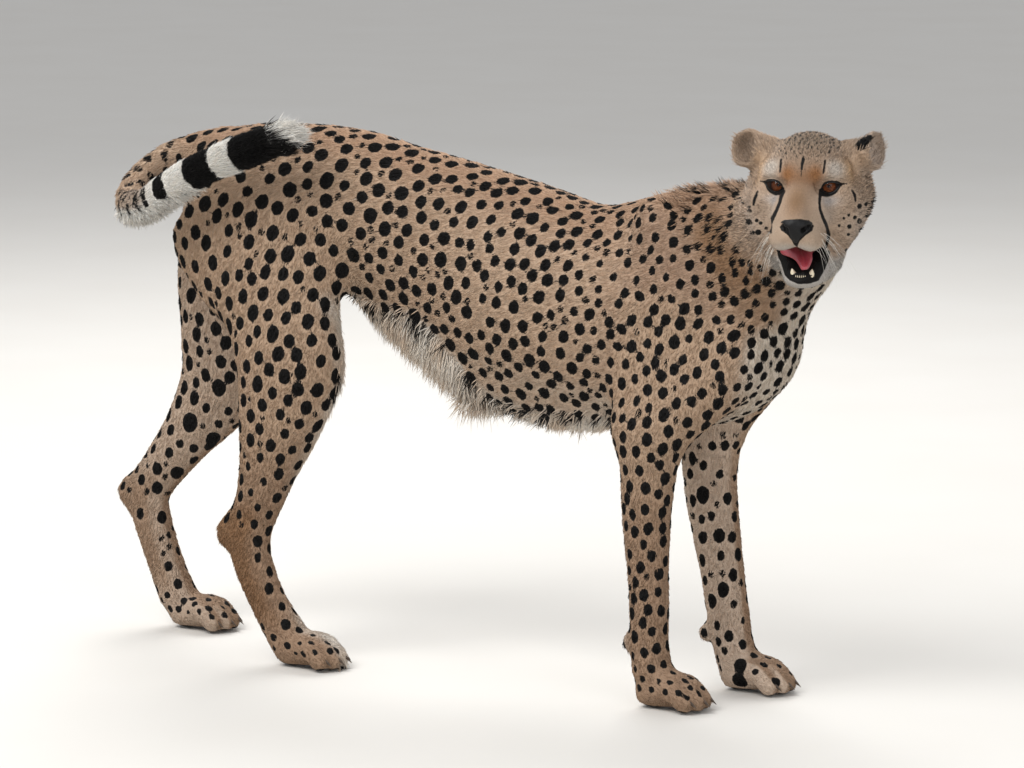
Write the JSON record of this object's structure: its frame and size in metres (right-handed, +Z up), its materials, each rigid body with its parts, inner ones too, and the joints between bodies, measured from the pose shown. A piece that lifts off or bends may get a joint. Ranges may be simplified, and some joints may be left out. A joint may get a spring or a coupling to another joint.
{
  "type": "cheetah",
  "caption": "Standing life-size cheetah with its head turned to the viewer, mouth open and tail curled forward; a still model for display.",
  "frame": {"origin": "middle of the bounding box in plan, on the floor that the paws stand on", "axes": "+Z up, +X from the rump towards the chest, +Y towards the animal's left"},
  "size_m": [1.2776, 0.3138, 0.8051],
  "materials": {
    "fur": "short spotted coat",
    "pale_fur": "pale coat",
    "eye": "wet, clear",
    "nose_skin": "moist black skin",
    "tongue": "moist"
  },
  "bodies": {
    "root": {"head": "fur", "neck": "fur", "chest": "fur", "loin": "fur", "rump": "fur", "ear_right": "fur", "ear_left": "fur", "leg_fore_right": "fur", "leg_fore_left": "fur", "leg_hind_right": "fur", "leg_hind_left": "fur", "tail_base": "fur", "tail_middle": "fur", "jaw": "pale_fur", "paw_fore_right": "pale_fur", "paw_fore_left": "pale_fur", "paw_hind_right": "pale_fur", "paw_hind_left": "pale_fur", "tail_tip": "pale_fur", "eye_right": "eye", "eye_left": "eye", "nose": "nose_skin", "tongue": "tongue"}
  },
  "joints": []
}
